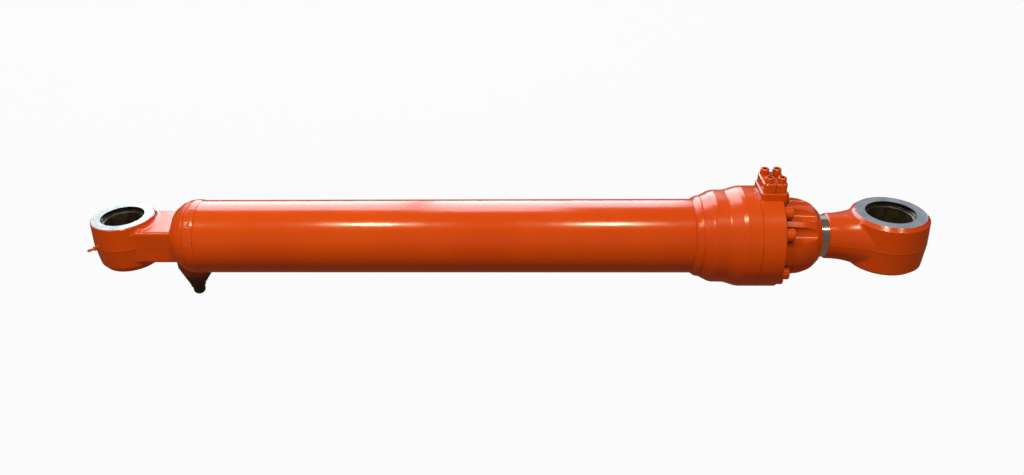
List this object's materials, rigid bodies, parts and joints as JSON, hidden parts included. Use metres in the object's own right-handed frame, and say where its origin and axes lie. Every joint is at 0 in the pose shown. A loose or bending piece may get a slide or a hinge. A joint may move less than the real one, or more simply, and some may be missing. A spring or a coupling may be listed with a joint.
{
  "type": "hydraulic cylinder",
  "caption": "Double-acting welded and bolted hydraulic cylinder with a bushed eye at each end, a blanked flange port on its head and a plugged port at its base.",
  "frame": {"origin": "centre of the base eye's bush, on the pin axis and the cylinder's centre line", "axes": "+X along the cylinder to the rod eye, +Z along both pin axes, on the side of the head port"},
  "size_m": [1.583, 0.19, 0.2605],
  "materials": {
    "orange_paint": "gloss orange enamel over forged and welded steel; machined eye faces left bare",
    "chrome": "hard chrome, polished",
    "bush_steel": "hardened steel bush with a film of dark grease",
    "bare_steel": "machined, oiled",
    "bronze": "bronze-lined guide bush",
    "black_rubber": "nitrile, matt",
    "seal_plastic": "polyurethane and PTFE seals",
    "ring_plastic": "fabric-reinforced phenolic",
    "black_plastic": "moulded polyethylene"
  },
  "bodies": {
    "barrel": {"base_eye": "orange_paint", "base_bush": "bush_steel", "base_grease_nipple": "orange_paint", "base_port_boss": "orange_paint", "base_port_foot": "orange_paint", "base_port_plug": "black_plastic", "barrel_tube": "orange_paint", "base_weld": "orange_paint", "flange_weld": "orange_paint", "head_flange": "orange_paint", "cylinder_head": "orange_paint", "head_bolts": "orange_paint", "head_o_ring": "black_rubber", "head_backup_ring": "seal_plastic", "rod_guide_bush": "bronze", "bush_snap_ring": "bare_steel", "buffer_seal": "seal_plastic", "rod_seal": "seal_plastic", "rod_seal_backup": "seal_plastic", "wiper_seal": "seal_plastic", "port_clamp_left": "orange_paint", "port_clamp_right": "orange_paint", "port_blank": "orange_paint", "port_o_ring": "black_rubber", "port_screws": "orange_paint"},
    "piston_rings": {"piston_seal": "seal_plastic", "piston_seal_energiser": "black_rubber", "piston_wear_rings": "ring_plastic", "piston_dirt_rings": "ring_plastic"},
    "rod": {"piston_rod": "chrome", "piston": "bare_steel", "piston_nut": "bare_steel", "nut_lock_ball": "bare_steel", "nut_set_screw": "bare_steel", "cushion_ring": "bare_steel", "rod_eye": "orange_paint", "rod_eye_weld": "orange_paint", "rod_bush": "bush_steel"}
  },
  "joints": [
    {"name": "rod_slide", "type": "slide", "parent": "barrel", "child": "piston_rings", "axis": [1, 0, 0], "range_m": [0, 0.88]},
    {"name": "rod_spin", "type": "hinge", "parent": "piston_rings", "child": "rod", "pos_m": [0.198, 0, 0], "axis": [1, 0, 0], "continuous": true}
  ]
}
